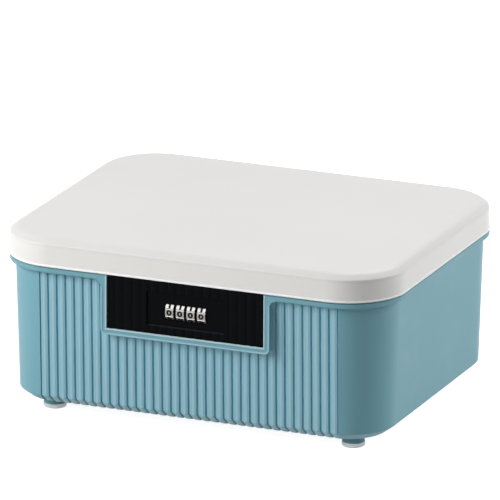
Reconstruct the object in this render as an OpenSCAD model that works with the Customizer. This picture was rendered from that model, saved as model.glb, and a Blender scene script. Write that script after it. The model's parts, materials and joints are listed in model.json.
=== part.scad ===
// Storage box with a hinged lid and a four-dial combination lock.
// Millimetres, +Z up, front towards -Y, standing on its feet at Z = 0.

/* [Lid] */
// Width of the lid, which is the width of the box
lid_w = 300; // [260:1:360]
// Depth of the lid, front to back
lid_d = 244; // [210:1:300]
// Height of the lid above the seam
lid_h = 20.2; // [19:0.1:26]
// Radius of the upright corners, at the lid's edge
corner_r = 43.6; // [36:0.1:52]
// Height of the lid's upright side, below its sloping shoulder
lid_side_h = 16.4; // [14:0.1:18]
// Slope of the lid's shoulder, in degrees from level
shoulder_slope = 34; // [30:1:45]
// How far the lip along the lid's lower edge stands out
lid_lip = 0.45; // [0.3:0.05:0.8]
// Thickness of the lid's skirt
lid_wall = 2.2; // [1.8:0.1:2.6]
// Thickness of the lid's top
lid_top_t = 2.4; // [1.6:0.1:3]
// How far the skirt leans in on its way up
lid_taper = 0.4; // [0.2:0.1:0.8]
// Thickness of the cream panel inside the lid
panel_t = 1.6; // [1.2:0.1:2]

/* [Body] */
// Height of the body from its underside to the lid's edge
body_h = 104.4; // [96:0.1:140]
// How far the body wall stands in from the lid's edge, at the top
body_inset = 4.6; // [4:0.1:6]
// How much further in the wall is at the bottom
body_draft = 3; // [1:0.1:4]
// Thickness of the body wall
body_wall = 3.4; // [3.2:0.1:3.8]
// Thickness of the body's bottom
body_floor = 2.4; // [2:0.1:3]
// Height of the bevel between wall and bottom
bevel_h = 5.6; // [4:0.1:7]
// How far the bevel runs in under the body
bevel_in = 7.6; // [5:0.1:9]
// Height of the rim that stands out under the lid
rim_h = 4.4; // [4:0.1:7]
// Gap between the rim and the lid's edge
seam_gap = 0.45; // [0.2:0.05:0.5]

/* [Ribs] */
// Number of upright ribs across the front
rib_count = 34; // [20:2:34]
// Distance from rib to rib
rib_pitch = 6.7; // [5.5:0.05:6.7]
// Width of the groove between two ribs
groove_w = 1.4; // [0.8:0.1:1.6]
// Depth of the groove below a rib's crest
groove_depth = 1.5; // [0.6:0.1:1.6]
// How far the crests lie behind the smooth wall
crest_inset = 0.7; // [0.2:0.1:0.8]
// Radius of a rib's rounded face
rib_face_r = 9; // [5:0.5:14]

/* [Liner] */
// Thickness of the inner tray
liner_wall = 1.8; // [1.4:0.1:2.2]
// Gap between the body wall and the tray
liner_gap = 0.6; // [0.4:0.1:1]
// Space between the two bottoms, for the posts
liner_lift = 6.2; // [5:0.1:9]
// Height of the tray's rim above the body
liner_rim_h = 9.3; // [7:0.1:10]
// Depth of the lock's bay, from the lid's front edge
bay_d = 30; // [29:0.5:36]

/* [Lock] */
// Width of the black front plate
fascia_w = 119.4; // [116:0.1:124]
// Height of the black front plate
fascia_h = 39; // [37:0.5:44]
// Thickness of the black front plate
fascia_t = 2.2; // [2:0.1:2.6]
// Width of the frame round the front plate
frame_w = 4.9; // [3.6:0.1:6]
// Width of the bead along the frame's inner edge
bead_w = 1.3; // [0.8:0.1:1.6]
// Radius of a number wheel, to its corners
wheel_r = 8.5; // [8.2:0.1:8.8]
// Width of a number wheel
wheel_w = 6.4; // [6:0.1:6.5]
// Distance from wheel to wheel
wheel_pitch = 8.1; // [8.1:0.1:8.4]
// Height of the wheels' centre line below the lid's edge
wheel_drop = 22.6; // [21:0.1:24]
// Height of a wheel's window
window_h = 12; // [10.6:0.1:12.2]
// Radius of the shaft the wheels turn on
shaft_r = 1.25; // [1.1:0.05:1.3]
// Radius of the locking flange beside each wheel
flange_r = 4.9; // [4.6:0.05:4.95]
// Travel of the code-change lever
reset_travel = 1.6; // [1:0.1:1.8]

/* [Hinges and feet] */
// Distance of each hinge's middle from the middle of the box
hinge_x = 80; // [60:1:82]
// Distance of the hinge's centre line behind the lid
hinge_out = 3.8; // [3.7:0.05:4.4]
// Distance of the hinge's centre line below the lid's edge
hinge_drop = 4; // [3.6:0.1:5]
// Radius of the hinge pin
pin_r = 1.5; // [1.2:0.1:1.8]
// How far the lid opens, in degrees
lid_open = 105; // [95:1:110]
// Distance of a foot from the middle, sideways
foot_x = 114.7; // [90:0.1:116]
// Distance of a foot from the middle, front to back
foot_y = 87; // [70:0.5:88]
// Radius of a foot
foot_r = 8; // [7:0.5:10]
// Height of a foot
foot_h = 9.6; // [8:0.1:12]
// Thickness of the soft pad under a foot
pad_t = 3.2; // [2:0.1:4]

/* [Hidden] */
$fn = 64;
eps = 0.01;
// Sliding gap between a shaft and its bore, measured on the radius
turn_gap = 0.05;
fit_gap = 0.1;

// Heights
underside_z = foot_h;
seam_z = underside_z + body_h;
rim_z = seam_z - seam_gap;
flange_z = rim_z - rim_h;
top_z = seam_z + lid_h;
liner_z = underside_z + body_floor + liner_lift;
liner_top_z = rim_z + liner_rim_h;

// Plan
front_y = -lid_d / 2;
back_y = lid_d / 2;
corner_x = lid_w / 2 - corner_r;
corner_y = lid_d / 2 - corner_r;
knuckle_r = 3.4;
// The hinges stand out behind, so the box sits forward by half of that
box_y = -(hinge_out + knuckle_r) / 2;

// Rim and wall
rim_inset = 0.4;
rim_round = 1.4;
rim_face_y = front_y + rim_inset;
draft_angle = atan(body_draft / body_h);
bevel_z = underside_z + bevel_h;
bevel_angle = atan(bevel_in / bevel_h);
function wall_inset(z) = body_inset + body_draft * (seam_z - z) / body_h;

// Lock bay and its deck
deck_t = 2;
bay_front_w = 146;
bay_back_w = 125;
bay_y = front_y + bay_d;
deck_gap = 1;
deck_slot_x = 35.6;
deck_slot_w = 26;
deck_slot_d = 6;
deck_slot_y = bay_y - 12;

// Front plate
fascia_top_z = rim_z - fit_gap;
fascia_bottom_z = rim_z - fascia_h;
fascia_face_y = rim_face_y + 0.6;
fascia_back_y = fascia_face_y + fascia_t;
fascia_rib_r = 11;
panel_w = 59.2;
panel_h = 25;
panel_sink = 1.4;
panel_plate_t = 1.2;
panel_y = fascia_face_y + panel_sink;
panel_back_y = panel_y + panel_plate_t;
panel_z = seam_z - wheel_drop + 1.7;
bay_window_w = 96;
bay_window_drop = 37;
boss_r = 2.4;
lock_boss_x = 33;
lock_boss_rise = 10.1;
ear_y = panel_back_y + 6;
fascia_boss_x = 54;
fascia_boss_drop = [32, 8];
fascia_boss_z = [for (drop = fascia_boss_drop) seam_z - drop];
fascia_boss_r = 2.6;
fascia_boss_h = 2.4;
fascia_seat_y = fascia_back_y + 3.8;

// Wheels
wheel_count = 4;
facet_count = 10;
wheel_clear_r = wheel_r + 0.35;
dial_y = panel_y + sqrt(wheel_clear_r * wheel_clear_r - window_h * window_h / 4);
dial_z = seam_z - wheel_drop;
function wheel_x(i) = (i - (wheel_count - 1) / 2) * wheel_pitch;
window_w = wheel_w + 0.3;
sleeve_bore_r = shaft_r + turn_gap;
sleeve_r = sleeve_bore_r + 0.9;
flange_t = 0.9;
wheel_bore_r = sleeve_r + turn_gap;
key_w = 0.9;
key_h = 0.7;
flange_x = wheel_pitch / 2 - flange_t / 2;

// Lock housing
housing_wall = 2;
housing_in_w = wheel_count * wheel_pitch + 4;
housing_out_w = housing_in_w + 2 * housing_wall;
housing_back_y = dial_y + wheel_r + 7.2;
housing_floor_z = dial_z - wheel_r - 1.9;
housing_top_z = dial_z + wheel_r + 8;
ear_t = 2;
ear_h = 6;
ear_reach = lock_boss_x + 3;

// Catch on the lid
tooth_t = 0.8;
tooth_h = 3;
tooth_reach = 4;
tooth_top_z = dial_z - 4.2;
spine_y = dial_y + wheel_r + 1.4;
spine_t = 1.2;
catch_w = wheel_count * wheel_pitch + 2.4;
catch_top_z = seam_z + 5;
catch_foot_d = 7.8;
catch_slot_w = catch_w + 1.6;
catch_slot_front = dial_y + 1;
catch_slot_back = spine_y + spine_t + 1.9;
catch_screw_x = 11;
catch_screw_y = spine_y + 4.6;
block_w = 59;
block_back_y = spine_y + catch_foot_d + 1;
gusset_x = [44, 66];
gusset_t = 1.8;
gusset_d = 13;

// Code-change lever
lever_x = 27;
lever_t = 3;
lever_front_y = fascia_back_y + 3;
lever_d = 2.6;
lever_top_z = seam_z + 1.9;
clip_t = 0.5;
clip_x = -(housing_out_w / 2 + 0.3 + clip_t);
spring_wire_r = 0.3;
spring_turns = 5;

// Cover plate on the deck
cover_t = 1;
cover_w = 68;
cover_front_y = fascia_back_y + 0.9;
cover_back_y = bay_y - 1.8;
cover_screw_x = 30.5;
cover_screw_y = cover_back_y - 3.2;

// Hinges
hinge_y = back_y + hinge_out;
hinge_z = seam_z - hinge_drop;
hinge_w = 42;
lid_knuckle_w = 23.2;
knuckle_gap = 0.4;
hinge_pad_y = back_y - rim_inset;
hinge_pad_z = seam_z - 13;
stop_reach = hinge_y - hinge_pad_y - 0.1;
stop_len = 2.3;
arm_t = 3.2;

// Feet and screws
pad_r = foot_r + 0.3;
screw_head_h = 2;
foot_screw_r = 1.25;
foot_head_r = 2.9;
post_r = 3.5;
small_screw_r = 1.05;
small_head_r = 2.2;
small_head_h = 1.5;
lock_screw_grip = 5;
fascia_screw_len = 4.4;

// Points along an arc, in degrees
function arc_points(x, z, r, from, to, steps = 6) = [
    for (i = [0:steps])
        let (a = from + (to - from) * i / steps)
        [x + r * cos(a), z + r * sin(a)]
];

// Points of the arc that rounds one corner of an outline
function rounded(before, corner, after, r, steps = 4) =
    let (
        a = (before - corner) / norm(before - corner),
        b = (after - corner) / norm(after - corner),
        half = acos(a * b) / 2,
        middle = corner + (a + b) / norm(a + b) * r / sin(half),
        side = sign(a.x * b.y - a.y * b.x),
        from = atan2(corner.y + a.y * r / tan(half) - middle.y, corner.x + a.x * r / tan(half) - middle.x)
    )
    arc_points(middle.x, middle.y, r, from, from - side * (180 - 2 * half), steps);

// Moves a piece from the box's own plan into the part's frame
module placed() {
    translate([0, box_y, 0]) children();
}

// Both sides of the middle
module both_sides() {
    children();
    mirror([1, 0, 0]) children();
}

// All four quarters of the plan
module four_corners() {
    both_sides() {
        children();
        mirror([0, 1, 0]) children();
    }
}

// Sweeps a wall section round the plan: x runs out from the corners' centres, y runs up
module sweep_plan() {
    four_corners() {
        translate([corner_x, corner_y, 0]) rotate_extrude(angle = 90) children();
    }
    both_sides() {
        translate([corner_x, corner_y, 0]) rotate([90, 0, 0]) linear_extrude(2 * corner_y) children();
    }
    for (turned = [0, 1]) {
        mirror([0, turned, 0]) translate([-corner_x, corner_y, 0])
            rotate([90, 0, 90]) linear_extrude(2 * corner_x) children();
    }
}

// Fills the middle of the plan, between the corners' centres
module middle_slab(z, height) {
    translate([-corner_x, -corner_y, z]) cube([2 * corner_x, 2 * corner_y, height]);
}

// Stands a flat drawing upright, facing the front, with its back at y and its face at y - depth
module upright(y, depth) {
    translate([0, y, 0]) rotate([90, 0, 0]) linear_extrude(depth) children();
}

// Extrudes a side view, drawn as (y, z), along X from x
module side_view(x, length) {
    translate([x, 0, 0]) rotate([90, 0, 90]) linear_extrude(length) children();
}

// Rectangle with rounded corners, from its lower left corner
module rounded_rect(w, h, r) {
    translate([r, 0]) square([w - 2 * r, h]);
    translate([0, r]) square([w, h - 2 * r]);
    for (x = [r, w - r], y = [r, h - r]) translate([x, y]) circle(r);
}

// Round bar along X on the dials' centre line, from x
module dial_bar(r, x, length) {
    translate([x, dial_y, dial_z]) rotate([0, 90, 0]) cylinder(r = r, h = length);
}

// Round bar along Y, from y towards the back
module y_bar(x, y, z, r, length) {
    translate([x, y, z]) rotate([-90, 0, 0]) cylinder(r = r, h = length);
}

// The wall and the bevel in section, or lines parallel to them and depth further in:
// the corner between the two, then the bevel's line at height z
bevel_way = [sin(bevel_angle), cos(bevel_angle)];
function bevel_point(depth) =
    [corner_r - wall_inset(bevel_z) - depth * bevel_way.y, bevel_z + depth * bevel_way.x];
function bevel_corner(depth) = let (p = bevel_point(depth))
    p + bevel_way * (corner_r - wall_inset(bevel_z) - depth - p.x) / bevel_way.x;
function bevel_at(depth, z) = let (p = bevel_point(depth)) p + bevel_way * (z - p.y) / bevel_way.y;

module body_section() {
    floor_z = underside_z + body_floor;
    wall_top = [corner_r - wall_inset(flange_z), flange_z];
    polygon(concat(
        [[0, underside_z]],
        rounded([0, underside_z], bevel_at(0, underside_z), bevel_corner(0), 2),
        rounded(bevel_at(0, underside_z), bevel_corner(0), wall_top, 1.5),
        [wall_top],
        arc_points(corner_r - rim_inset - rim_round, flange_z + rim_round, rim_round, -90, 0),
        [[corner_r - rim_inset, rim_z], [corner_r - wall_inset(rim_z) - body_wall, rim_z]],
        [bevel_corner(body_wall), bevel_at(body_wall, floor_z), [0, floor_z]]
    ));
}

ribs_w = rib_count * rib_pitch;

// Plan of what lies in front of the ribs' rounded faces
module rib_scallops(first_y, crest_y, face_r) {
    // Each face ends in the middle of the groove beside it
    valley = face_r - sqrt(face_r * face_r - rib_pitch * rib_pitch / 4);
    difference() {
        translate([-ribs_w / 2 + groove_w / 4, first_y])
            square([ribs_w - groove_w / 2, crest_y + valley - first_y]);
        for (i = [0:rib_count - 1])
            translate([(i - (rib_count - 1) / 2) * rib_pitch, crest_y + face_r]) circle(face_r);
    }
}

// Section of one groove, down the wall and on along the bevel
module groove_section() {
    depth = crest_inset + groove_depth;
    top_z = flange_z - 0.1;
    low_z = underside_z - 1;
    polygon([
        [corner_r - wall_inset(top_z) - depth, top_z], bevel_corner(depth), bevel_at(depth, low_z),
        [corner_r + 1, low_z], [corner_r + 1, top_z]
    ]);
}

// Outline of the frame round the front plate, flared where it runs into the rim
module frame_outline() {
    w = fascia_w + 2 * frame_w;
    h = fascia_h + frame_w;
    round_r = 4;
    translate([-w / 2, rim_z - h]) rounded_rect(w, h, round_r);
    translate([-w / 2, rim_z - h / 2]) square([w, h / 2]);
    both_sides() translate([w / 2, flange_z - round_r]) difference() {
        translate([-1, 0]) square([round_r + 1, round_r + 1]);
        translate([round_r, 0]) circle(round_r);
    }
}

module front_frame() {
    bead_rise = 0.35;
    bead_r = (bead_w * bead_w / 4 + bead_rise * bead_rise) / (2 * bead_rise);
    bead_x = fascia_w / 2 + fit_gap + bead_w / 2;
    bead_z = fascia_bottom_z - fit_gap - bead_w / 2;
    upright(front_y + body_inset + body_wall / 2, body_inset + body_wall / 2 - rim_inset) frame_outline();
    translate([0, rim_face_y - bead_rise + bead_r, bead_z]) {
        translate([-bead_x, 0, 0]) rotate([0, 90, 0]) cylinder(r = bead_r, h = 2 * bead_x);
        both_sides() translate([bead_x, 0, 0]) {
            sphere(bead_r);
            cylinder(r = bead_r, h = rim_z - bead_z);
        }
    }
}

// What is cut away between the ribs, outside the frame
module rib_grooves() {
    bevel_len = norm([bevel_in, bevel_h]) + 4;
    // The two runs of the faces pass each other a little, where they meet
    lap = 0.3;
    difference() {
        union() {
            translate([0, front_y + wall_inset(bevel_z), bevel_z]) {
                rotate([draft_angle, 0, 0]) translate([0, 0, -lap])
                    linear_extrude(flange_z - bevel_z - 0.1 + lap) rib_scallops(-2, crest_inset, rib_face_r);
                rotate([bevel_angle, 0, 0]) translate([0, 0, -bevel_len]) linear_extrude(bevel_len + lap)
                    rib_scallops(-4, crest_inset, rib_face_r);
            }
            for (i = [0:rib_count]) {
                x = (i - rib_count / 2) * rib_pitch;
                left = max(x - groove_w / 2, -ribs_w / 2);
                right = min(x + groove_w / 2, ribs_w / 2);
                mirror([0, 1, 0]) translate([left, corner_y, 0]) rotate([90, 0, 90])
                    linear_extrude(right - left) groove_section();
            }
        }
        upright(bay_y, bay_d + 10) frame_outline();
    }
}

// Plan of the lock's bay, from in front of the box to its back wall
module bay_plan(grow) {
    wide = bay_front_w / 2 + grow;
    narrow = bay_back_w / 2 + grow;
    polygon([
        [-wide, front_y - 5], [wide, front_y - 5],
        [wide, front_y + 4], [narrow, bay_y + grow],
        [-narrow, bay_y + grow], [-wide, front_y + 4]
    ]);
}

module deck_cuts(top) {
    translate([-catch_slot_w / 2, catch_slot_front, seam_z - 5])
        cube([catch_slot_w, catch_slot_back - catch_slot_front, 5 + top]);
    translate([lever_x - reset_travel - 0.6, lever_front_y - 0.4, seam_z - 5])
        cube([lever_t + reset_travel + 1.2, lever_d + 0.8, 5 + top]);
}

module lock_deck() {
    difference() {
        translate([0, 0, rim_z - deck_t]) linear_extrude(deck_t) intersection() {
            bay_plan(-deck_gap);
            translate([-lid_w / 2, fascia_back_y]) square([lid_w, bay_d]);
        }
        deck_cuts(5);
        both_sides() {
            translate([deck_slot_x, deck_slot_y, seam_z - 5]) cube([deck_slot_w, deck_slot_d, 10]);
            translate([cover_screw_x, cover_screw_y, seam_z - 5])
                cylinder(r = small_screw_r + turn_gap, h = 10);
        }
    }
}

module hinge_leaf() {
    outer_w = (hinge_w - lid_knuckle_w) / 2 - knuckle_gap;
    difference() {
        union() {
            translate([-hinge_w / 2, back_y - body_inset - body_wall / 2, hinge_pad_z])
                cube([hinge_w, body_inset + body_wall / 2 - rim_inset, rim_z - hinge_pad_z]);
            both_sides() translate([hinge_w / 2 - outer_w, 0, 0]) {
                translate([0, hinge_y, hinge_z]) rotate([0, 90, 0]) cylinder(r = knuckle_r, h = outer_w);
                translate([0, hinge_pad_y - 1, hinge_z - 2.6])
                    cube([outer_w, hinge_out + 1.3, 4.8]);
            }
        }
        translate([-hinge_w, hinge_y, hinge_z]) rotate([0, 90, 0])
            cylinder(r = pin_r + 0.02, h = 2 * hinge_w);
    }
}

module body_shell() placed() color("#86AFBE") {
    difference() {
        union() {
            sweep_plan() body_section();
            middle_slab(underside_z, body_floor);
            front_frame();
            four_corners() translate([foot_x, foot_y, pad_t]) cylinder(r = foot_r, h = foot_h - pad_t + 1);
        }
        rib_grooves();
        // Seat and window for the front plate
        translate([-fascia_w / 2 - fit_gap, front_y - 5, fascia_bottom_z - fit_gap])
            cube([fascia_w + 2 * fit_gap, fascia_back_y - front_y + 5, fascia_h + 5]);
        translate([-bay_window_w / 2, front_y - 5, seam_z - bay_window_drop])
            cube([bay_window_w, 20, bay_window_drop + 5]);
        both_sides() for (z = fascia_boss_z) {
            y_bar(fascia_boss_x, fascia_back_y - 1, z, fascia_boss_r + fit_gap, fascia_boss_h + 1.1);
            y_bar(fascia_boss_x, fascia_back_y, z, small_screw_r + 0.35, 12);
            y_bar(fascia_boss_x, fascia_seat_y, z, small_head_r + 0.8, 12);
        }
        four_corners() translate([foot_x, foot_y, 0]) {
            cylinder(r = foot_head_r + 0.4, h = foot_h - 1.4);
            cylinder(r = foot_screw_r + 0.3, h = underside_z + body_floor + 1);
        }
    }
    lock_deck();
    both_sides() translate([hinge_x, 0, 0]) hinge_leaf();
}

module liner_section(filled) {
    function liner_x(z) = corner_r - wall_inset(z) - body_wall - liner_gap;
    out_r = 8;
    in_r = 6;
    inner_z = liner_z + liner_wall;
    rim_out = corner_r - 7.4;
    rim_in = rim_out - 2;
    outer = concat(
        [[0, liner_z]],
        arc_points(liner_x(liner_z + out_r) - out_r, liner_z + out_r, out_r, -90, 0),
        [[liner_x(rim_z), rim_z]]
    );
    if (filled) {
        polygon(concat(outer, [[liner_x(rim_z), liner_top_z], [0, liner_top_z]]));
    } else {
        polygon(concat(
            outer,
            [[corner_r - 3.4, rim_z], [corner_r - 3.4, rim_z + 2], [rim_out, rim_z + 2]],
            arc_points(rim_out - 1, liner_top_z - 1, 1, 0, 180, 6),
            [[rim_in, rim_z + 2], [liner_x(rim_z - 3) - liner_wall, rim_z - 3]],
            arc_points(liner_x(inner_z + in_r) - liner_wall - in_r, inner_z + in_r, in_r, 0, -90),
            [[0, inner_z]]
        ));
    }
}

module inner_liner() placed() color("#E8DFD0") {
    difference() {
        union() {
            sweep_plan() liner_section(false);
            middle_slab(liner_z, liner_wall);
            four_corners() translate([foot_x, foot_y, liner_z - liner_lift])
                cylinder(r = post_r, h = liner_lift + 1);
        }
        translate([0, 0, liner_z - 1]) linear_extrude(seam_z + lid_h) bay_plan(0);
        four_corners() translate([foot_x, foot_y, 0])
            cylinder(r = foot_screw_r + turn_gap, h = liner_z + liner_wall - 1);
    }
    intersection() {
        translate([0, 0, liner_z]) linear_extrude(liner_top_z - liner_z) difference() {
            bay_plan(liner_wall);
            bay_plan(0);
        }
        union() {
            sweep_plan() liner_section(true);
            middle_slab(liner_z, liner_top_z - liner_z);
        }
    }
}

module foot_pads() placed() color("#C9CFCF") {
    four_corners() translate([foot_x, foot_y, 0]) rotate_extrude() polygon(concat(
        [[0, 0]],
        rounded([0, 0], [pad_r, 0], [pad_r, pad_t], 1),
        [[pad_r, pad_t], [foot_head_r + 0.3, pad_t]],
        [[foot_head_r + 0.3, pad_t + 0.5], [0, pad_t + 0.5]]
    ));
}

module base_screws() placed() color("#9A9C9E") {
    four_corners() translate([foot_x, foot_y, foot_h - 1.4]) {
        translate([0, 0, -screw_head_h]) difference() {
            cylinder(r = foot_head_r, h = screw_head_h);
            for (turn = [0, 90]) rotate([0, 0, turn]) translate([-2, -0.4, -1]) cube([4, 0.8, 2]);
        }
        cylinder(r = foot_screw_r, h = liner_z - foot_h);
    }
}

module lock_fascia() placed() color("#15161A") {
    difference() {
        union() {
            translate([-fascia_w / 2, fascia_face_y, fascia_bottom_z])
                cube([fascia_w, fascia_t, fascia_top_z - fascia_bottom_z]);
            // Thicker back behind the sunk middle
            translate([-panel_w / 2 - 1.5, fascia_face_y + 1, panel_z - panel_h / 2 - 1.5])
                cube([panel_w + 3, panel_back_y - fascia_face_y - 1, panel_h + 3]);
            both_sides() {
                for (rise = [-1, 1]) {
                    z = dial_z + rise * lock_boss_rise;
                    y_bar(lock_boss_x, fascia_back_y - 1, z, boss_r, ear_y - fascia_back_y + 1);
                }
                for (z = fascia_boss_z)
                    y_bar(fascia_boss_x, fascia_back_y - 1, z, fascia_boss_r, fascia_boss_h + 1);
            }
        }
        // Fine upright grooves, in line with the ribs of the body
        translate([0, fascia_face_y, fascia_bottom_z - 1]) linear_extrude(fascia_h + 2) intersection() {
            rib_scallops(-1, 0.1, fascia_rib_r);
            translate([-fascia_w / 2 + 2, -1]) square([fascia_w - 4, 4]);
        }
        translate([-panel_w / 2, fascia_face_y - 1, panel_z - panel_h / 2])
            cube([panel_w, panel_sink + 1, panel_h]);
        for (i = [0:wheel_count - 1]) {
            translate([wheel_x(i) - window_w / 2, panel_y - 1, dial_z - window_h / 2])
                cube([window_w, 5, window_h]);
            dial_bar(wheel_clear_r, wheel_x(i) - window_w / 2, window_w);
        }
        both_sides() {
            for (rise = [-1, 1]) {
                z = dial_z + rise * lock_boss_rise;
                y_bar(lock_boss_x, fascia_back_y + 0.4, z, small_screw_r + turn_gap, 10);
            }
            for (z = fascia_boss_z)
                y_bar(fascia_boss_x, fascia_back_y - 0.8, z, small_screw_r + turn_gap, 10);
        }
    }
}

// A small screw along Y, with its head at the back
module y_screw(x, y, z, length) {
    y_bar(x, y - length, z, small_screw_r, length);
    difference() {
        y_bar(x, y, z, small_head_r, small_head_h);
        for (turn = [0, 90])
            translate([x, y + small_head_h, z]) rotate([0, turn, 0])
                translate([-1.5, -0.7, -0.3]) cube([3, 2, 0.6]);
    }
}

module fascia_screws() placed() color("#9A9C9E") {
    both_sides() for (z = fascia_boss_z) y_screw(fascia_boss_x, fascia_seat_y, z, fascia_screw_len);
}

module lock_screws() placed() color("#9A9C9E") {
    both_sides() for (rise = [-1, 1])
        y_screw(lock_boss_x, ear_y + ear_t, dial_z + rise * lock_boss_rise, ear_t + lock_screw_grip);
}

module lock_housing() placed() color("#2B2D31") {
    depth = housing_back_y - panel_back_y;
    difference() {
        union() {
            translate([-housing_out_w / 2, panel_back_y, housing_floor_z - housing_wall])
                cube([housing_out_w, depth, housing_top_z - housing_floor_z + housing_wall]);
            both_sides() for (rise = [-1, 1])
                translate([housing_out_w / 2 - 1, ear_y, dial_z + rise * lock_boss_rise - ear_h / 2])
                    cube([ear_reach - housing_out_w / 2 + 1, ear_t, ear_h]);
        }
        translate([-housing_in_w / 2, panel_back_y - 1, housing_floor_z])
            cube([housing_in_w, depth - housing_wall + 1, housing_top_z]);
        dial_bar(shaft_r + turn_gap, -housing_out_w, 2 * housing_out_w);
        both_sides() {
            for (rise = [-1, 1])
                y_bar(lock_boss_x, ear_y - 1, dial_z + rise * lock_boss_rise, small_screw_r + 0.25, 5);
            translate([wheel_pitch, spine_y - 0.4, housing_floor_z - 5]) cylinder(r = 0.9 + turn_gap, h = 10);
        }
    }
}

module lock_cover_plate() placed() color("#A9B6B8") {
    difference() {
        translate([-cover_w / 2, cover_front_y, rim_z]) linear_extrude(cover_t)
            rounded_rect(cover_w, cover_back_y - cover_front_y, 3);
        deck_cuts(10);
        both_sides() translate([cover_screw_x, cover_screw_y, rim_z - 1])
            cylinder(r = small_screw_r + 0.25, h = 5);
    }
}

module cover_screws() placed() color("#9A9C9E") {
    both_sides() translate([cover_screw_x, cover_screw_y, rim_z + cover_t]) {
        difference() {
            cylinder(r = small_head_r, h = small_head_h - 0.4);
            for (turn = [0, 90]) rotate([0, 0, turn]) translate([-1.4, -0.3, 0.5]) cube([2.8, 0.6, 2]);
        }
        translate([0, 0, -cover_t - deck_t - 1]) cylinder(r = small_screw_r, h = cover_t + deck_t + 1);
    }
}

module detent_spring() placed() color("#B9BCC0") {
    leaf_t = 0.4;
    leaf_front = spine_y - 5;
    leaf_w = housing_in_w - 4;
    tip_z = dial_z - wheel_r - 0.35;
    difference() {
        translate([-leaf_w / 2, leaf_front, housing_floor_z])
            cube([leaf_w, housing_back_y - leaf_front - 3, leaf_t]);
        both_sides() translate([wheel_pitch, spine_y - 0.4, housing_floor_z - 1]) cylinder(r = 1.1, h = 3);
    }
    for (i = [0:wheel_count - 1]) side_view(wheel_x(i) - 2, 4) polygon([
        [leaf_front + 1, housing_floor_z], [leaf_front + 1, housing_floor_z + leaf_t],
        [dial_y + 1, tip_z - 0.2], [dial_y, tip_z], [dial_y - 1, tip_z - 0.2],
        [dial_y - 1, tip_z - 0.2 - leaf_t], [dial_y, tip_z - leaf_t], [dial_y + 1, tip_z - 0.2 - leaf_t]
    ]);
}

module detent_screws() placed() color("#9A9C9E") {
    both_sides() translate([wheel_pitch, spine_y - 0.4, housing_floor_z + 0.4]) {
        translate([0, 0, -2.2]) cylinder(r = 0.9, h = 2.2);
        cylinder(r = 1.7, h = 0.9);
    }
}

module dial_shaft() placed() color("#C2C4C6") {
    difference() {
        dial_bar(shaft_r, clip_x - 1.5, lever_x + lever_t - clip_x + 1.5);
        difference() {
            dial_bar(shaft_r + 1, clip_x - 0.05, clip_t + 0.1);
            dial_bar(shaft_r - 0.35, clip_x - 1, clip_t + 2);
        }
    }
}

module shaft_clip() placed() color("#8E9092") {
    difference() {
        dial_bar(2.7, clip_x, clip_t);
        dial_bar(shaft_r - 0.3, clip_x - 1, clip_t + 2);
        translate([clip_x - 1, dial_y - 0.8, dial_z - 5]) cube([clip_t + 2, 1.6, 5]);
    }
}

module reset_lever() placed() color("#F0EFEA") {
    difference() {
        union() {
            dial_bar(3.2, lever_x, lever_t);
            translate([lever_x, lever_front_y, dial_z]) cube([lever_t, lever_d, lever_top_z - dial_z]);
        }
        dial_bar(shaft_r + 0.02, lever_x - 1, lever_t + 2);
    }
}

// A coil along X: a six-sided wire on a helix, closed with flat ends
module coil_spring(x, length, coil_r, wire_r, turns) {
    sides = 6;
    per_turn = 12;
    rings = turns * per_turn;
    function helix(i) = let (a = 360 * i / per_turn)
        [x + wire_r + (length - 2 * wire_r) * i / rings, coil_r * cos(a), coil_r * sin(a)];
    points = [
        for (i = [0:rings], s = [0:sides - 1])
            let (a = 360 * i / per_turn, b = 360 * s / sides)
            helix(i) + wire_r * [sin(b), cos(b) * cos(a), cos(b) * sin(a)]
    ];
    faces = concat(
        [[for (s = [0:sides - 1]) s]],
        [for (i = [0:rings - 1], s = [0:sides - 1])
            [i * sides + s, (i + 1) * sides + s, (i + 1) * sides + (s + 1) % sides]],
        [for (i = [0:rings - 1], s = [0:sides - 1])
            [i * sides + s, (i + 1) * sides + (s + 1) % sides, i * sides + (s + 1) % sides]],
        [[for (s = [sides - 1:-1:0]) rings * sides + s]]
    );
    polyhedron(points, faces);
}

module reset_spring() placed() color("#B9BCC0") {
    start_x = housing_out_w / 2 + fit_gap;
    translate([0, dial_y, dial_z])
        coil_spring(start_x, lever_x - fit_gap - start_x, shaft_r + 0.9, spring_wire_r, spring_turns);
}

// A number wheel: ten flats with rounded rims and a grip notch at each corner
module number_wheel() {
    rim_cut = 0.6;
    difference() {
        intersection() {
            cylinder(r = wheel_r, h = wheel_w, center = true, $fn = facet_count);
            rotate_extrude() polygon([
                [0, -wheel_w / 2], [wheel_r - rim_cut, -wheel_w / 2], [wheel_r, rim_cut - wheel_w / 2],
                [wheel_r, wheel_w / 2 - rim_cut], [wheel_r - rim_cut, wheel_w / 2], [0, wheel_w / 2]
            ]);
        }
        cylinder(r = wheel_bore_r, h = wheel_w + 2, center = true);
        translate([0, -key_w / 2 - turn_gap, -wheel_w])
            cube([wheel_bore_r + key_h + turn_gap, key_w + 2 * turn_gap, 2 * wheel_w]);
        for (i = [0:facet_count - 1])
            rotate([0, 0, i * 360 / facet_count]) translate([wheel_r, 0, -wheel_w])
                cylinder(r = 0.6, h = 2 * wheel_w);
    }
}

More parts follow.
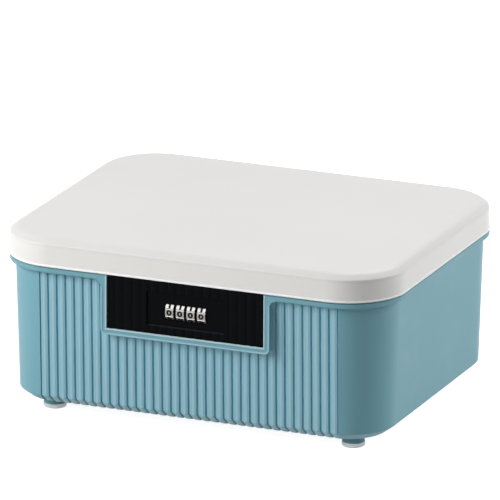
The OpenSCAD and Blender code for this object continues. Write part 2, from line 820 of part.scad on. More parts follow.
// A sleeve: tube with a key for its wheel and a flange with one flat, which faces the back
module clutch_sleeve() {
    start = -wheel_w / 2 - fit_gap;
    difference() {
        union() {
            translate([0, 0, start]) cylinder(r = sleeve_r, h = flange_x + flange_t - start);
            translate([0, -key_w / 2, -wheel_w / 2 + 0.3]) cube([sleeve_r + key_h, key_w, wheel_w - 0.6]);
            translate([0, 0, flange_x]) linear_extrude(flange_t) intersection() {
                circle(flange_r);
                translate([-flange_r, -2 * flange_r + sleeve_r]) square([2 * flange_r, 2 * flange_r]);
            }
        }
        translate([0, 0, start - 1]) cylinder(r = sleeve_bore_r, h = wheel_pitch + 2);
    }
}

module at_dial(i) {
    translate([wheel_x(i - 1), dial_y, dial_z]) rotate([0, 90, 0]) children();
}

module dial_wheel(i) placed() color("#D8D9DB") at_dial(i) number_wheel();

module dial_sleeve(i) placed() color("#B08D4A") at_dial(i) clutch_sleeve();

module dial_wheel_1() dial_wheel(1);
module dial_wheel_2() dial_wheel(2);
module dial_wheel_3() dial_wheel(3);
module dial_wheel_4() dial_wheel(4);

module dial_sleeve_1() dial_sleeve(1);
module dial_sleeve_2() dial_sleeve(2);
module dial_sleeve_3() dial_sleeve(3);
module dial_sleeve_4() dial_sleeve(4);

// The shoulder of the lid, in from its side: the side's top, then the flat top's edge
side_top = [corner_r - lid_lip - lid_taper, seam_z + lid_side_h];
function shoulder_x(z) = side_top.x - (z - side_top.y) / tan(shoulder_slope);

module lid_section() {
    lip_h = 1.3;
    top_r = 10;
    lip_x = corner_r - lid_lip;
    inner_x = side_top.x - lid_wall;
    ceiling_z = top_z - lid_top_t;
    // The inner face of the shoulder is parallel to the outer one
    drop = lid_wall / cos(shoulder_slope);
    polygon(concat(
        [[lip_x - lid_wall, seam_z], [corner_r - 0.2, seam_z], [corner_r, seam_z + 0.2]],
        rounded([corner_r, seam_z], [corner_r, seam_z + lip_h], [lip_x, seam_z + lip_h], 0.3),
        [[lip_x, seam_z + lip_h]],
        rounded([lip_x, seam_z + lip_h], side_top, [shoulder_x(top_z), top_z], 1.2),
        rounded(side_top, [shoulder_x(top_z), top_z], [0, top_z], top_r, 8),
        [[0, top_z], [0, ceiling_z]],
        [[shoulder_x(ceiling_z + drop), ceiling_z]],
        [[inner_x, side_top.y + lid_wall * tan(shoulder_slope) - drop]]
    ));
}

module lid_knuckle() {
    flat = [-cos(lid_open), -sin(lid_open)] * stop_reach;
    along = [sin(lid_open), -cos(lid_open)] * stop_len;
    arm_back = hinge_y + arm_t;
    difference() {
        side_view(-lid_knuckle_w / 2, lid_knuckle_w) {
            translate([hinge_y, hinge_z]) {
                circle(knuckle_r);
                polygon([[0, 0], flat, flat + along, [arm_t - 0.2, 0]]);
            }
            polygon([
                [hinge_y - arm_t, hinge_z], [arm_back, hinge_z], [arm_back, seam_z + 4],
                [arm_back - 4, seam_z + 8], [back_y - 1, seam_z + 8], [back_y - 1, seam_z + 0.6],
                [hinge_y - arm_t, seam_z + 0.6]
            ]);
        }
        translate([-lid_knuckle_w, hinge_y, hinge_z]) rotate([0, 90, 0])
            cylinder(r = pin_r + turn_gap, h = 2 * lid_knuckle_w);
    }
}

module lid_shell() placed() color("#E9E8E5") {
    sweep_plan() lid_section();
    middle_slab(top_z - lid_top_t, lid_top_t);
    both_sides() translate([hinge_x, 0, 0]) lid_knuckle();
}

module panel_section() {
    gap = 0.3;
    out_x = side_top.x - lid_wall - gap;
    ceiling_z = top_z - lid_top_t;
    drop = lid_wall / cos(shoulder_slope) + gap;
    out_z = side_top.y + (side_top.x - out_x) * tan(shoulder_slope) - drop;
    edge_x = shoulder_x(ceiling_z + drop);
    polygon([
        [0, ceiling_z], [edge_x, ceiling_z], [out_x, out_z],
        [out_x, seam_z + 3], [out_x - panel_t, seam_z + 3],
        [out_x - panel_t, out_z - panel_t / 2], [edge_x - panel_t / 2, ceiling_z - panel_t],
        [0, ceiling_z - panel_t]
    ]);
}

// A rib under the lid's ceiling, from the front wall to back_y, that follows the shoulder
module ceiling_rib(x, width, bottom, back_y) {
    wall_y = front_y + lid_wall + 2;
    root_z = top_z - lid_top_t - panel_t / 2;
    side_view(x, width) polygon([
        [wall_y, bottom], [back_y, bottom], [back_y, root_z],
        [wall_y + 4.3, root_z], [wall_y, side_top.y - 2]
    ]);
}

module lid_inner_panel() placed() color("#EDE5D8") {
    difference() {
        union() {
            sweep_plan() panel_section();
            middle_slab(top_z - lid_top_t - panel_t, panel_t);
            // Block that carries the catch
            ceiling_rib(-block_w / 2, block_w, catch_top_z, block_back_y);
            both_sides() for (x = gusset_x) ceiling_rib(x, gusset_t, catch_top_z + 1, front_y + gusset_d);
        }
        both_sides() translate([catch_screw_x, catch_screw_y, catch_top_z - 1])
            cylinder(r = small_screw_r + turn_gap, h = 7);
    }
}

module lid_catch_plate() placed() color("#8F8468") {
    spine_bottom = tooth_top_z - tooth_h;
    difference() {
        side_view(-catch_w / 2, catch_w) polygon([
            [spine_y, spine_bottom], [spine_y + spine_t, spine_bottom],
            [spine_y + spine_t, catch_top_z - spine_t], [spine_y + catch_foot_d, catch_top_z - spine_t],
            [spine_y + catch_foot_d, catch_top_z], [spine_y, catch_top_z]
        ]);
        both_sides() translate([catch_screw_x, catch_screw_y, catch_top_z - 5])
            cylinder(r = small_screw_r + 0.25, h = 10);
        // Lightening windows between the teeth
        for (x = [-wheel_pitch * 1.5, -wheel_pitch / 2, wheel_pitch / 2, wheel_pitch * 1.5])
            translate([x - 2, spine_y - 1, dial_z + 4]) cube([4, 5, 14]);
    }
}

module catch_teeth() placed() color("#B9BCC0") {
    bottom = tooth_top_z - tooth_h;
    tip_y = dial_y + tooth_reach;
    for (i = [0:wheel_count - 1])
        side_view(wheel_x(i) + wheel_pitch / 2 - tooth_t / 2, tooth_t) polygon([
            [spine_y, bottom], [tip_y + 1.5, bottom], [tip_y, bottom + 1.5],
            [tip_y, tooth_top_z], [spine_y, tooth_top_z]
        ]);
}

module catch_screws() placed() color("#9A9C9E") {
    both_sides() translate([catch_screw_x, catch_screw_y, catch_top_z - spine_t]) {
        translate([0, 0, -1.2]) difference() {
            cylinder(r = small_head_r, h = 1.2);
            for (turn = [0, 90]) rotate([0, 0, turn]) translate([-1.4, -0.3, -1]) cube([2.8, 0.6, 1.6]);
        }
        cylinder(r = small_screw_r, h = 6);
    }
}

module hinge_pin(side) placed() color("#C2C4C6") {
    head_t = 0.8;
    mirror([side < 0 ? 1 : 0, 0, 0]) translate([hinge_x - hinge_w / 2, hinge_y, hinge_z]) rotate([0, 90, 0]) {
        cylinder(r = pin_r, h = hinge_w);
        translate([0, 0, hinge_w]) cylinder(r = pin_r + 0.9, h = head_t);
    }
}

module hinge_pin_left() hinge_pin(-1);
module hinge_pin_right() hinge_pin(1);

body_shell();
inner_liner();
foot_pads();
base_screws();
lock_fascia();
fascia_screws();
lock_housing();
lock_screws();
lock_cover_plate();
cover_screws();
detent_spring();
detent_screws();
dial_shaft();
shaft_clip();
reset_lever();
reset_spring();
dial_wheel_1();
dial_wheel_2();
dial_wheel_3();
dial_wheel_4();
dial_sleeve_1();
dial_sleeve_2();
dial_sleeve_3();
dial_sleeve_4();
lid_shell();
lid_inner_panel();
lid_catch_plate();
catch_teeth();
catch_screws();
hinge_pin_left();
hinge_pin_right();
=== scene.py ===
import json
import math

import bmesh
import bpy
from mathutils import Matrix, Vector


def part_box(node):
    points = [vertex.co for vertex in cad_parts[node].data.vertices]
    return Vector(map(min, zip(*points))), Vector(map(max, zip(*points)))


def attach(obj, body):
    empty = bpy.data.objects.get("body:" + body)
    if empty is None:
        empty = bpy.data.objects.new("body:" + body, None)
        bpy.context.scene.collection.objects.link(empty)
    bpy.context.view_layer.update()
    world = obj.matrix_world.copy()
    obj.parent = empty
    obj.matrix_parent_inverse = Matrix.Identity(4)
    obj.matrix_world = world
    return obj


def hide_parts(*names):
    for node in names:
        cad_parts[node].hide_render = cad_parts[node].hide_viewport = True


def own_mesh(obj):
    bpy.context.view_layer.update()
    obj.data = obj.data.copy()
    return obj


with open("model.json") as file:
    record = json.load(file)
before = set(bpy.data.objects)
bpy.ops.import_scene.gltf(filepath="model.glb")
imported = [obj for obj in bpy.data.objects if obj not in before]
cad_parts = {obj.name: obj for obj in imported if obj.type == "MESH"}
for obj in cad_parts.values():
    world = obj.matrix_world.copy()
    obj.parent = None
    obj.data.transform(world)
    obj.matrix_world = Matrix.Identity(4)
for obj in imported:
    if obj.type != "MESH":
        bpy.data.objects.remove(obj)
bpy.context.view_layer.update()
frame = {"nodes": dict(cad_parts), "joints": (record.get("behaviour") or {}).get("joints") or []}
nodes = frame["nodes"]
joints = {joint["name"]: joint for joint in frame["joints"]}
print("frame loaded:", len(nodes), "nodes")


def clearSelection():
    if bpy.context.object and bpy.context.object.mode != "OBJECT":
        bpy.ops.object.mode_set(mode="OBJECT")
    bpy.ops.object.select_all(action="DESELECT")


def makeActive(*pieces):
    clearSelection()
    for piece in pieces:
        piece.select_set(True)
    bpy.context.view_layer.objects.active = pieces[0]


def settle(piece):
    # the place and turn go into the mesh, the object stays at the origin
    makeActive(piece)
    bpy.ops.object.transform_apply(location=True, rotation=True, scale=True)


def editMode(piece):
    makeActive(piece)
    bpy.ops.object.mode_set(mode="EDIT")
    bpy.ops.mesh.select_all(action="DESELECT")
    return bmesh.from_edit_mesh(piece.data)


def pick(piece, items, test):
    # selects what passes the test, in edit mode
    for item in items:
        item.select_set(test(item))
    bmesh.update_edit_mesh(piece.data)


def smoothUpTo(piece, degrees):
    makeActive(piece)
    bpy.ops.object.shade_smooth_by_angle(angle=math.radians(degrees))


def dress(piece, finish):
    piece.data.materials.clear()
    piece.data.materials.append(finish)


def directionOf(turn, lift):
    # turn goes from the front towards the right, lift goes up
    return Vector((math.sin(turn) * math.cos(lift), -math.cos(turn) * math.cos(lift), math.sin(lift)))


class Wire:
    # one output socket that can be used in sums
    def __init__(self, finish, socket):
        self.finish = finish
        self.socket = socket

    def __add__(self, other): return self.finish.maths("ADD", self, other)
    def __radd__(self, other): return self.finish.maths("ADD", other, self)
    def __sub__(self, other): return self.finish.maths("SUBTRACT", self, other)
    def __rsub__(self, other): return self.finish.maths("SUBTRACT", other, self)
    def __mul__(self, other): return self.finish.maths("MULTIPLY", self, other)
    def __rmul__(self, other): return self.finish.maths("MULTIPLY", other, self)
    def __truediv__(self, other): return self.finish.maths("DIVIDE", self, other)


class Board:
    # a node tree that is written as expressions on wires
    def __init__(self, owner):
        owner.use_nodes = True
        self.tree = owner.node_tree
        self.tree.nodes.clear()

    def feed(self, socket, value):
        if isinstance(value, Wire):
            self.tree.links.new(value.socket, socket)
        elif hasattr(socket.default_value, "__len__") and len(value) == 3 and len(socket.default_value) == 4:
            socket.default_value = (*value, 1)
        else:
            socket.default_value = value

    def node(self, kind, settings=None, inputs=None, output=0):
        made = self.tree.nodes.new(kind)
        for key, value in (settings or {}).items():
            setattr(made, key, value)
        for key, value in (inputs or {}).items():
            self.feed(made.inputs[key], value)
        return Wire(self, made.outputs[output]) if output is not None else made

    def maths(self, operation, first, second=0.0):
        return self.node("ShaderNodeMath", {"operation": operation}, {0: first, 1: second})

    def backdropRays(self):
        # 1 for what the camera sees, straight or in a mirror or glass
        straight, mirrored, through = [self.node("ShaderNodeLightPath", output=f"Is {ray} Ray")
                                       for ray in ("Camera", "Glossy", "Transmission")]
        return self.maths("MAXIMUM", self.maths("MAXIMUM", straight, mirrored), through)


socketNames = {"baseColor": "Base Color", "specular": "Specular IOR Level",
               "transmission": "Transmission Weight"}


class Finish(Board):
    # a material on one principled shader
    def __init__(self, name, **sockets):
        self.material = bpy.data.materials.new(name)
        super().__init__(self.material)
        self.surface = self.tree.nodes.new("ShaderNodeBsdfPrincipled")
        output = self.tree.nodes.new("ShaderNodeOutputMaterial")
        self.tree.links.new(self.surface.outputs[0], output.inputs["Surface"])
        self.place = self.node("ShaderNodeTexCoord", output="Object")
        self.set(**sockets)

    def set(self, **sockets):
        for name, value in sockets.items():
            self.feed(self.surface.inputs[socketNames.get(name, name.capitalize())], value)

    def part(self, vector, axis):
        return self.node("ShaderNodeSeparateXYZ", None, {0: vector}, output=axis)

    def axes(self):
        return [self.part(self.place, axis) for axis in ("X", "Y", "Z")]

    def absolute(self, value):
        return self.maths("ABSOLUTE", value)

    def facing(self, axis):
        # 1 on a surface square to the axis, 0 on one along it
        return self.absolute(self.part(self.node("ShaderNodeNewGeometry", output="Normal"), axis))

    def between(self, value, low, high):
        # 0 below low, 1 above high
        return self.node("ShaderNodeMapRange", {"interpolation_type": "SMOOTHSTEP"},
                         {"Value": value, "From Min": low, "From Max": high})

    def noise(self, scale, detail, roughness=0.5, place=None):
        return self.node("ShaderNodeTexNoise", None, {"Vector": place or self.place, "Scale": scale,
                                                      "Detail": detail, "Roughness": roughness})

    def stretched(self, scale):
        return self.node("ShaderNodeMapping", None, {"Vector": self.place, "Scale": scale})

    def mix(self, amount, first, second):
        mixed = self.tree.nodes.new("ShaderNodeMix")
        mixed.data_type = "RGBA"
        self.feed(mixed.inputs[0], amount)
        self.feed(mixed.inputs[6], first)
        self.feed(mixed.inputs[7], second)
        return Wire(self, mixed.outputs[2])

    def bump(self, height, depth, edge):
        # fine relief on top of a small rounding along every sharp edge
        rounded = self.node("ShaderNodeBevel", {"samples": 6}, {"Radius": edge})
        return self.node("ShaderNodeBump", None, {"Height": height, "Distance": depth, "Strength": 1.0,
                                                  "Normal": rounded})


def tint(hexColour):
    # an sRGB colour as the linear numbers that a shader takes
    parts = [int(hexColour[i:i + 2], 16) / 255 for i in (1, 3, 5)]
    return tuple(c / 12.92 if c <= 0.04045 else ((c + 0.055) / 1.055) ** 2.4 for c in parts)


def shaded(colour, factor):
    return tuple(min(1.0, c * factor) for c in colour)


moulding = {"mottle": 0.03, "specular": 0.45, "edge": 0.00035,
            "flowScale": 9, "flowRoughness": 0.03,
            "rubScale": 26, "rubFrom": 0.45, "rubTo": 0.75, "rubGloss": 0.07,
            "grainScale": 2600, "waveScale": 120, "waveShare": 0.5}


def moulded(finish, colour, roughness, grain, edge=moulding["edge"], mottle=moulding["mottle"]):
    # faint flow shading, spark-eroded grain, a few rubbed patches
    flow = finish.noise(moulding["flowScale"], detail=3)
    patches = finish.noise(moulding["rubScale"], detail=4, roughness=0.6)
    rubbed = finish.between(patches, moulding["rubFrom"], moulding["rubTo"])
    fine = finish.noise(moulding["grainScale"], detail=1)
    waves = finish.noise(moulding["waveScale"], detail=2)
    finish.set(
        roughness=roughness - moulding["rubGloss"] * rubbed + moulding["flowRoughness"] * flow,
        normal=finish.bump(fine + moulding["waveShare"] * waves, grain, edge))
    return finish.mix(flow, shaded(colour, 1 - mottle), shaded(colour, 1 + mottle))


def mouldedPlastic(name, colour, roughness, grain, edge=moulding["edge"],
                   specular=moulding["specular"], transmission=0.0):
    finish = Finish(name, specular=specular, transmission=transmission)
    finish.set(baseColor=moulded(finish, colour, roughness, grain, edge))
    return finish.material


# across is the distance from a rib's middle, in pitches: 0 at the crest, 0.5 in the groove
# the rib colours are painted light: grooves lifted out of their shade, faces paler, a painted highlight
# stripe on each crest
ribs = {"pitch": 0.0067, "count": 34, "front": -0.1225, "back": -0.106, "top": 0.1089,
        "frontFade": 0.0005, "backFade": 0.002, "endFade": 0.0001, "topFade": 0.0005,
        "crestTo": (0.05, 0.15), "faceTo": (0.36, 0.42),
        "groove": tint("#8AC3D4"), "face": tint("#8DBCCB"), "crest": tint("#A2CBD8")}

# a painted highlight line round the lock plate: from and to are distances out from the plate's edge,
# and behind is the depth past its front face where the line ends
plateHighlightLine = {"from": (-0.0001, 0.0001), "to": (0.0011, 0.0015), "behind": (0.002, 0.003),
             "amount": 0.75, "colour": tint("#C4DEE6")}

# a painted shadow line on the body's upright rim, just under the lid
rimPaintedShadow = {"height": (0.1127, 0.1131), "upright": (0.3, 0.6), "amount": 0.6, "colour": tint("#2C4F59")}


def bodyPlastic(name, colour, roughness, grain, edge, specular):
    # the body's plastic, with painted light down the ribs, a painted highlight line round the lock plate and
    # a painted shadow on the rim under the lid
    finish = Finish(name, specular=specular)
    plastic = moulded(finish, colour, roughness, grain, edge)
    x, y, z = finish.axes()

    half = ribs["pitch"] * ribs["count"] / 2
    across = finish.absolute(finish.maths("FRACT", x / ribs["pitch"]) - 0.5)
    ribbed = (finish.between(y, ribs["front"], ribs["front"] + ribs["frontFade"])
              * (1 - finish.between(y, ribs["back"] - ribs["backFade"], ribs["back"]))
              * (1 - finish.between(finish.absolute(x), half - ribs["endFade"], half + ribs["endFade"]))
              * (1 - finish.between(z, ribs["top"] - ribs["topFade"], ribs["top"])))
    # painted light on the ribs: grooves and faces painted paler than the body, a painted highlight stripe on
    # each crest
    groovesPaintedPaler = finish.mix(ribbed, plastic, ribs["groove"])
    facesPaintedPaler = finish.mix(ribbed * (1 - finish.between(across, *ribs["faceTo"])), groovesPaintedPaler, ribs["face"])
    crestsPaintedHighlight = finish.mix(ribbed * (1 - finish.between(across, *ribs["crestTo"])), facesPaintedPaler, ribs["crest"])

    # a painted highlight line round the lock plate
    low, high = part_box("lock_fascia")
    past = finish.maths("MAXIMUM", finish.absolute(x) - high[0], low[2] - z)
    highlightLine = finish.between(past, *plateHighlightLine["from"]) * (1 - finish.between(past, *plateHighlightLine["to"]))
    front = 1 - finish.between(y, *[low[1] + depth for depth in plateHighlightLine["behind"]])
    highlightLined = finish.mix(plateHighlightLine["amount"] * highlightLine * front, crestsPaintedHighlight, plateHighlightLine["colour"])

    # a painted shadow along the top of the upright rim, where the lid's edge shades it
    upright = 1 - finish.between(finish.facing("Z"), *rimPaintedShadow["upright"])
    rimShadowMask = rimPaintedShadow["amount"] * upright * finish.between(z, *rimPaintedShadow["height"])
    finish.set(baseColor=finish.mix(rimShadowMask, highlightLined, rimPaintedShadow["colour"]))
    return finish.material


# the faint painted highlight line along the lower edge of the lock plate's sunk middle
sunkEdgeHighlight = {"height": 0.0806, "half": 0.0296, "thick": (0.0002, 0.0006), "endFade": 0.002,
            "colour": tint("#20242C")}


def fasciaPlastic(name, colour, roughness, grain, mottle, specular):
    # the lock plate's black plastic, with a painted highlight along the sunk middle's lower edge
    finish = Finish(name, specular=specular)
    plastic = moulded(finish, colour, roughness, grain, mottle=mottle)
    x, y, z = finish.axes()
    # a painted highlight line along the sunk middle's lower edge
    along = 1 - finish.between(finish.absolute(x), sunkEdgeHighlight["half"] - sunkEdgeHighlight["endFade"], sunkEdgeHighlight["half"])
    highlightLine = (1 - finish.between(finish.absolute(z - sunkEdgeHighlight["height"]), *sunkEdgeHighlight["thick"])) * along
    finish.set(baseColor=finish.mix(highlightLine, plastic, sunkEdgeHighlight["colour"]))
    return finish.material


lidPaintedLight = {"skirtBelow": (0.127, 0.131), "skirt": tint("#EAE9E6"),
            "lipBelow": (0.1153, 0.1157), "lip": tint("#FFFFFF")}


def lidPlastic(name, colour, roughness, grain, edge):
    # the lid's plastic, with painted light: the skirt painted paler than the top and a painted highlight
    # along its lower lip
    finish = Finish(name, specular=moulding["specular"])
    plastic = moulded(finish, colour, roughness, grain, edge)
    height = finish.part(finish.place, "Z")
    # painted light: the skirt painted paler than the top, a painted highlight line on the lower lip
    skirt = 1 - finish.between(height, *lidPaintedLight["skirtBelow"])
    lip = 1 - finish.between(height, *lidPaintedLight["lipBelow"])
    finish.set(baseColor=finish.mix(lip, finish.mix(skirt, plastic, lidPaintedLight["skirt"]), lidPaintedLight["lip"]))
    return finish.material


turning = {"marks": (900, 900, 900), "depth": 0.00002, "edge": 0.00012,
           "dark": 0.86, "light": 1.06, "roughness": 0.14}


def turnedMetal(name, colour, roughness):
    # metal with fine tool marks
    finish = Finish(name, metallic=1.0)
    marks = finish.noise(1, detail=3, place=finish.stretched(turning["marks"]))
    finish.set(
        baseColor=finish.mix(marks, shaded(colour, turning["dark"]), shaded(colour, turning["light"])),
        roughness=roughness + turning["roughness"] * marks,
        normal=finish.bump(marks, turning["depth"], turning["edge"]))
    return finish.material


wheelTurning = {"marks": (2400, 240, 240), "depth": 0.000015, "edge": 0.0003, "dark": 0.9, "light": 1.08,
                "roughness": 0.1, "sideFacing": (0.4, 0.75), "sidePaintedShade": 0.1, "sideRoughness": 0.3}


def wheelMetal(name, colour, roughness):
    # satin silver with marks round the wheel, dull on the wheel's two sides, which are darkened as painted
    # shade
    finish = Finish(name, metallic=1.0)
    marks = finish.noise(1, detail=3, place=finish.stretched(wheelTurning["marks"]))
    # the side mask makes the two sides dull and darkens them as painted shade
    dullSideAndPaintedShade = finish.between(finish.facing("X"), *wheelTurning["sideFacing"])
    satin = finish.mix(marks, shaded(colour, wheelTurning["dark"]), shaded(colour, wheelTurning["light"]))
    finish.set(
        baseColor=finish.mix(dullSideAndPaintedShade, satin, shaded(colour, wheelTurning["sidePaintedShade"])),
        roughness=roughness + wheelTurning["roughness"] * marks + wheelTurning["sideRoughness"] * dullSideAndPaintedShade,
        normal=finish.bump(marks, wheelTurning["depth"], wheelTurning["edge"]))
    return finish.material


finishes = {
    "lid": lidPlastic("lidPlastic", tint("#E3E2E0"), 0.38, 0.000014, edge=0.0002),
    "cream": mouldedPlastic("creamPlastic", tint("#EADFD1"), 0.48, 0.00002),
    "body": bodyPlastic("bodyPlastic", tint("#75A9B6"), 0.45, 0.000016, edge=0.0007, specular=0.3),
    # the bead is painted paler than the body: a painted highlight along the frame's outer edge
    "bead": mouldedPlastic("beadPlasticPaintedHighlight", tint("#90BCC9"), 0.34, 0.000006, edge=0.0002, specular=0.6),
    "black": fasciaPlastic("blackPlastic", tint("#07080A"), 0.42, 0.00002, mottle=0.1, specular=0.03),
    "dark": mouldedPlastic("housingPlastic", tint("#2B2D31"), 0.5, 0.00002),
    "lever": mouldedPlastic("leverPlastic", tint("#EFEEEA"), 0.4, 0.00001),
    "pad": mouldedPlastic("footPadSilicone", tint("#F0F5F6"), 0.4, 0.00001, transmission=0.45),
    "cover": mouldedPlastic("coverPaint", tint("#A9B6B8"), 0.38, 0.000012),
    "ink": mouldedPlastic("numberInk", tint("#0B0B0C"), 0.5, 0.000004, edge=0.00002, specular=0.1),
    "wheel": wheelMetal("wheelSilver", tint("#93918E"), 0.26),
    "brass": turnedMetal("sleeveBrass", tint("#C8A457"), 0.25),
    "steel": turnedMetal("brightSteel", tint("#C3C5C7"), 0.22),
    "screw": turnedMetal("zincSteel", tint("#A9ABAD"), 0.33),
    "catch": turnedMetal("catchSteel", tint("#7D735E"), 0.34),
}

nodeFinish = {
    "body_shell": "body", "inner_liner": "cream", "base_screws": "screw", "lock_fascia": "black",
    "fascia_screws": "screw", "lock_housing": "dark", "lock_screws": "screw", "lock_cover_plate": "cover",
    "cover_screws": "screw", "detent_spring": "steel", "detent_screws": "screw", "dial_shaft": "steel",
    "shaft_clip": "steel", "reset_lever": "lever", "reset_spring": "steel", "lid_shell": "lid",
    "lid_inner_panel": "cream", "lid_catch_plate": "catch", "catch_teeth": "steel", "catch_screws": "screw",
    "hinge_pin_left": "steel", "hinge_pin_right": "steel", "foot_pads": "pad",
    **{f"dial_wheel_{i}": "wheel" for i in range(1, 5)},
    **{f"dial_sleeve_{i}": "brass" for i in range(1, 5)},
}
for nodeName, finishName in nodeFinish.items():
    dress(nodes[nodeName], finishes[finishName])
print("finishes on", len(nodeFinish), "nodes")


frameBead = {"wide": 0.1290, "low": 0.06975, "high": 0.1052, "front": -0.12525, "corner": 0.004,
             "cornerSteps": 10, "width": 0.0014, "proud": 0.00035, "rounding": 0.0003,
             "roundingSteps": 4, "cutOff": 0.01, "smooth": 35}


def makeFrameBead():
    # the rounded bead along the outside of the frame round the lock plate
    size = frameBead
    tall = size["high"] + size["cutOff"] - size["low"]  # what stands over high is cut off below
    clearSelection()
    bpy.ops.mesh.primitive_plane_add(size=1, rotation=(math.pi / 2, 0, 0),
                                     location=(0, size["front"], size["low"] + tall / 2))
    bead = bpy.context.object
    bead.name = "frameBead"
    bead.scale = (size["wide"], tall, 1)
    settle(bead)
    mesh = editMode(bead)
    bpy.ops.mesh.select_mode(type="VERT")
    pick(bead, mesh.verts, lambda v: v.co.z < size["low"] + size["width"])
    bpy.ops.mesh.bevel(offset=size["corner"], segments=size["cornerSteps"], affect="VERTICES")
    bpy.ops.mesh.select_all(action="SELECT")
    bpy.ops.mesh.select_mode(type="FACE")
    bpy.ops.mesh.inset(thickness=size["width"])
    bpy.ops.mesh.delete(type="FACE")
    bpy.ops.mesh.select_all(action="SELECT")
    bpy.ops.mesh.bisect(plane_co=(0, 0, size["high"]), plane_no=(0, 0, 1), clear_outer=True)
    bpy.ops.mesh.select_all(action="SELECT")
    bpy.ops.mesh.extrude_region_move(TRANSFORM_OT_translate={"value": (0, -size["proud"], 0)})
    bpy.ops.mesh.select_mode(type="EDGE")
    mesh = bmesh.from_edit_mesh(bead.data)
    crest, ends = size["front"] - size["proud"] * 0.9, size["high"] - size["proud"]
    pick(bead, mesh.edges, lambda e: all(v.co.y < crest for v in e.verts)
         and any(v.co.z < ends for v in e.verts)
         and any(abs(f.normal.y) < 0.5 for f in e.link_faces))
    bpy.ops.mesh.bevel(offset=size["rounding"], segments=size["roundingSteps"])
    bpy.ops.mesh.select_all(action="SELECT")
    bpy.ops.mesh.normals_make_consistent(inside=False)
    smoothUpTo(bead, size["smooth"])
    dress(bead, finishes["bead"])
    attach(bead, "box")
    print("frame bead:", len(bead.data.polygons), "faces")


makeFrameBead()

codeSpring = {"seat": 0.0203, "travel": 0.0016, "weld": 0.000001, "smooth": 50}


def makeCodeSpring():
    # the coil behind the code-change lever
    coil = bpy.data.objects.new("codeSpring", nodes["reset_spring"].data.copy())
    bpy.context.scene.collection.objects.link(coil)
    editMode(coil)
    bpy.ops.mesh.select_all(action="SELECT")
    bpy.ops.mesh.remove_doubles(threshold=codeSpring["weld"])
    smoothUpTo(coil, codeSpring["smooth"])
    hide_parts("reset_spring")
    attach(coil, "box")
    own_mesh(coil)


makeCodeSpring()

# flatRadius is the distance from the wheel's axis to one of its ten flats
numbers = {"height": 0.0036, "capShare": 0.72, "widen": 0.0003, "proud": 0.00003, "curveSteps": 4,
           "flatRadius": 0.0085 * math.cos(math.radians(18)), "step": 36, "digits": 10, "broad": 1.5}


def wheelNumbers(i):
    # ten numbers round one wheel, 0 in the window, 1 above it
    centre = Vector(joints[f"dial_{i}_turn"]["pos_m"])
    made = []
    for digit in range(numbers["digits"]):
        clearSelection()
        bpy.ops.object.text_add(location=(0, 0, 0))
        figure = bpy.context.object
        figure.data.body = str(digit)
        figure.data.size = numbers["height"] / numbers["capShare"]
        figure.data.align_x, figure.data.align_y = "CENTER", "CENTER"
        figure.data.offset = numbers["widen"]
        figure.data.extrude = numbers["proud"]
        figure.data.resolution_u = numbers["curveSteps"]
        bpy.ops.object.convert(target="MESH")
        figure = bpy.context.object
        corners = [Vector(c) for c in figure.bound_box]
        middle = (corners[0] + corners[6]) / 2
        lean = math.radians(90 - numbers["step"] * digit)
        figure.data.transform(
            Matrix.Translation(centre) @ Matrix.Rotation(lean, 4, "X")
            @ Matrix.Translation((0, 0, numbers["flatRadius"]))
            @ Matrix.Diagonal((numbers["broad"], 1, 1, 1)) @ Matrix.Translation((-middle.x, -middle.y, 0)))
        made.append(figure)
    makeActive(*made)
    bpy.ops.object.join()
    ring = bpy.context.object
    ring.name = f"wheelNumbers{i}"
    settle(ring)
    dress(ring, finishes["ink"])
    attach(ring, f"dial_{i}")


for i in range(1, 5):
    wheelNumbers(i)
print("numbers on four wheels")


studio = {"floorSize": 12, "floorTint": "#BDBDBD", "floorRoughness": 0.9, "floorGlow": 0.92,
          "ambient": 0.03, "backdrop": 1.0, "lampDistance": 1.8, "lampAim": (0, 0, 0.06)}

clearSelection()
bpy.ops.mesh.primitive_plane_add(size=studio["floorSize"], location=(0, 0, 0))
floor = bpy.context.object
floor.name = "studioFloor"
floorFinish = Finish("floorPaper", baseColor=tint(studio["floorTint"]), roughness=studio["floorRoughness"])
floorFinish.feed(floorFinish.surface.inputs["Emission Color"], (1, 1, 1))
floorFinish.feed(floorFinish.surface.inputs["Emission Strength"],
                 studio["floorGlow"] * floorFinish.backdropRays())
dress(floor, floorFinish.material)

world = bpy.data.worlds.new("studioWorld")
bpy.context.scene.world = world
sky = Board(world)
surround, backdrop = [sky.node("ShaderNodeBackground", None, {"Color": (1, 1, 1), "Strength": studio[part]})
                      for part in ("ambient", "backdrop")]
blended = sky.node("ShaderNodeMixShader", None, {0: sky.backdropRays(), 1: surround, 2: backdrop})
sky.node("ShaderNodeOutputWorld", None, {"Surface": blended}, output=None)

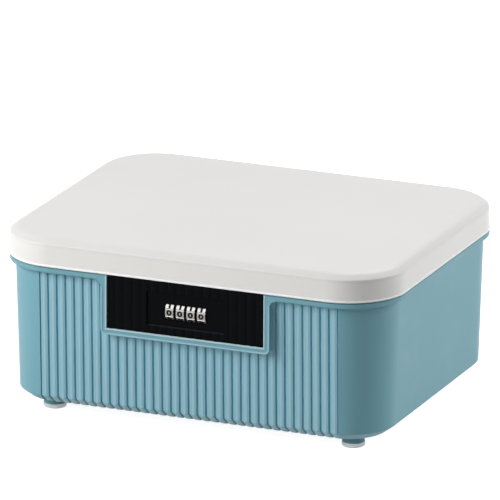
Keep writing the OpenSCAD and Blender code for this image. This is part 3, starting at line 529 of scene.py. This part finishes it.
softboxes = {
    "leftBox": {"turn": -54, "lift": 30, "size": (1.1, 1.0), "power": 13.5},
    "frontBox": {"turn": -30, "lift": 30, "size": (1.1, 1.0), "power": 15},
    "rightBox": {"turn": 118, "lift": 25, "size": (0.4, 1.0), "power": 17.8},
    "topBox": {"turn": -60, "lift": 82, "size": (1.1, 1.0), "power": 3.5},
    "backBox": {"turn": 180, "lift": 50, "size": (1.1, 1.0), "power": 7.8},
}
for name, box in softboxes.items():
    away = directionOf(math.radians(box["turn"]), math.radians(box["lift"]))
    lamp = bpy.data.lights.new(name, "AREA")
    lamp.shape = "RECTANGLE"
    lamp.size, lamp.size_y = box["size"]
    lamp.energy = box["power"]
    holder = bpy.data.objects.new(name, lamp)
    bpy.context.scene.collection.objects.link(holder)
    holder.location = Vector(studio["lampAim"]) + away * studio["lampDistance"]
    holder.rotation_euler = (-away).to_track_quat("-Z", "Y").to_euler()

# the target lies at targetPixel in a picture that is imageSize pixels wide and high
view = {"azimuth": 22.37, "elevation": 16.79, "roll": 0.28, "focalPixels": 9000, "pixelsPerMetre": 1400,
        "target": (0, -0.0036, 0.114), "targetPixel": (250.9, 238.6), "imageSize": 500, "sensor": 36,
        "clipEnd": 50}
turn = math.radians(view["azimuth"])
towards = directionOf(turn, math.radians(view["elevation"]))
right = Vector((math.cos(turn), math.sin(turn), 0))
up = towards.cross(right)
spin = Matrix.Rotation(math.radians(view["roll"]), 3, towards)
right, up = spin @ right, spin @ up
across, down = [view["imageSize"] / 2 - pixel for pixel in view["targetPixel"]]
aimPoint = Vector(view["target"]) + (right * across - up * down) / view["pixelsPerMetre"]
cameraData = bpy.data.cameras.new("photoCamera")
cameraData.sensor_width = view["sensor"]
cameraData.lens = view["focalPixels"] * view["sensor"] / view["imageSize"]
cameraData.clip_end = view["clipEnd"]
camera = bpy.data.objects.new("photoCamera", cameraData)
bpy.context.scene.collection.objects.link(camera)
camera.matrix_world = (
    Matrix.Translation(aimPoint + towards * view["focalPixels"] / view["pixelsPerMetre"])
    @ Matrix((right, up, towards)).transposed().to_4x4())
bpy.context.scene.camera = camera
bpy.context.scene.view_settings.view_transform = "Standard"
print("camera and lights set")
